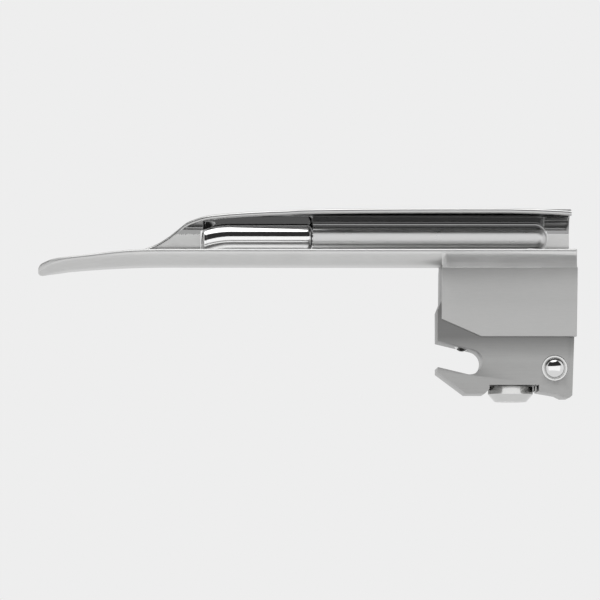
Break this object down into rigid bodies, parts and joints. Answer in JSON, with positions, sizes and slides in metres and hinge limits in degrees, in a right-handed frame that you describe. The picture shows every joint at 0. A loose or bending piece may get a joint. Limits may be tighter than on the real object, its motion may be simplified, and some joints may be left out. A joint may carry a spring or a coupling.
{
  "type": "laryngoscope blade",
  "caption": "Straight laryngoscope blade with a trough-shaped spatula, side web with curled flange, hook-on heel with spring balls, and a slide-out light guide.",
  "frame": {"origin": "centre of the hook that goes on the handle's crossbar, on the mid-plane of the heel", "axes": "+X towards the heel end, -X towards the tip; +Z towards the flange; -Y towards the open side of the channel, which is the operator's right"},
  "size_m": [0.102, 0.0154, 0.0369],
  "materials": {
    "satin_steel": "satin polished stainless steel",
    "brushed_tongue": "finely ground stainless steel",
    "polished_steel": "mirror polished stainless steel",
    "ball_steel": "hardened bearing balls, mirror finish",
    "spring_steel": "bright drawn spring steel",
    "tube_steel": "drawn stainless tube",
    "optical_glass": "optically polished fibre face",
    "glass_fibre": "bundle of fine glass fibres",
    "resin": "cured amber epoxy"
  },
  "bodies": {
    "blade": {"blade_shell": "satin_steel", "light_channel": "satin_steel", "heel_block": "brushed_tongue", "heel_cover_right": "satin_steel", "heel_cover_left_front": "satin_steel", "heel_cover_left_rear": "satin_steel", "detent_body_left": "polished_steel", "detent_body_right": "polished_steel", "hook_spring": "spring_steel", "detent_spring_left": "spring_steel", "detent_spring_right": "spring_steel"},
    "light_guide": {"light_sleeve": "polished_steel", "distal_ring": "polished_steel", "light_window": "optical_glass", "sleeve_potting": "resin", "fibre_bundle": "glass_fibre", "bundle_tube": "tube_steel", "light_ferrule": "polished_steel", "port_potting": "resin", "port_window": "optical_glass"},
    "leaf": {"retaining_leaf": "spring_steel"},
    "hook_ball_body": {"hook_ball": "ball_steel"},
    "left_ball": {"detent_ball_left": "ball_steel"},
    "right_ball": {"detent_ball_right": "ball_steel"}
  },
  "joints": [
    {"name": "light_guide_slide", "type": "slide", "parent": "blade", "child": "light_guide", "axis": [0, 1, 0], "range_m": [0, 0.012]},
    {"name": "leaf_flex", "type": "hinge", "parent": "blade", "child": "leaf", "pos_m": [0.01257, 0, -0.00436], "axis": [0, -1, 0], "range_deg": [0, 10], "stiffness_Nm_per_rad": 0.04},
    {"name": "hook_ball_slide", "type": "slide", "parent": "blade", "child": "hook_ball_body", "axis": [0, 0, 1], "range_m": [0, 0.00055], "stiffness_N_per_m": 3000, "springref_m": -0.0004, "deforming": ["hook_spring"]},
    {"name": "detent_left_slide", "type": "slide", "parent": "blade", "child": "left_ball", "axis": [0, -1, 0], "range_m": [0, 0.0012], "stiffness_N_per_m": 3000, "springref_m": -0.001, "deforming": ["detent_spring_left"]},
    {"name": "detent_right_slide", "type": "slide", "parent": "blade", "child": "right_ball", "axis": [0, 1, 0], "range_m": [0, 0.0012], "stiffness_N_per_m": 3000, "springref_m": -0.001, "deforming": ["detent_spring_right"]}
  ]
}
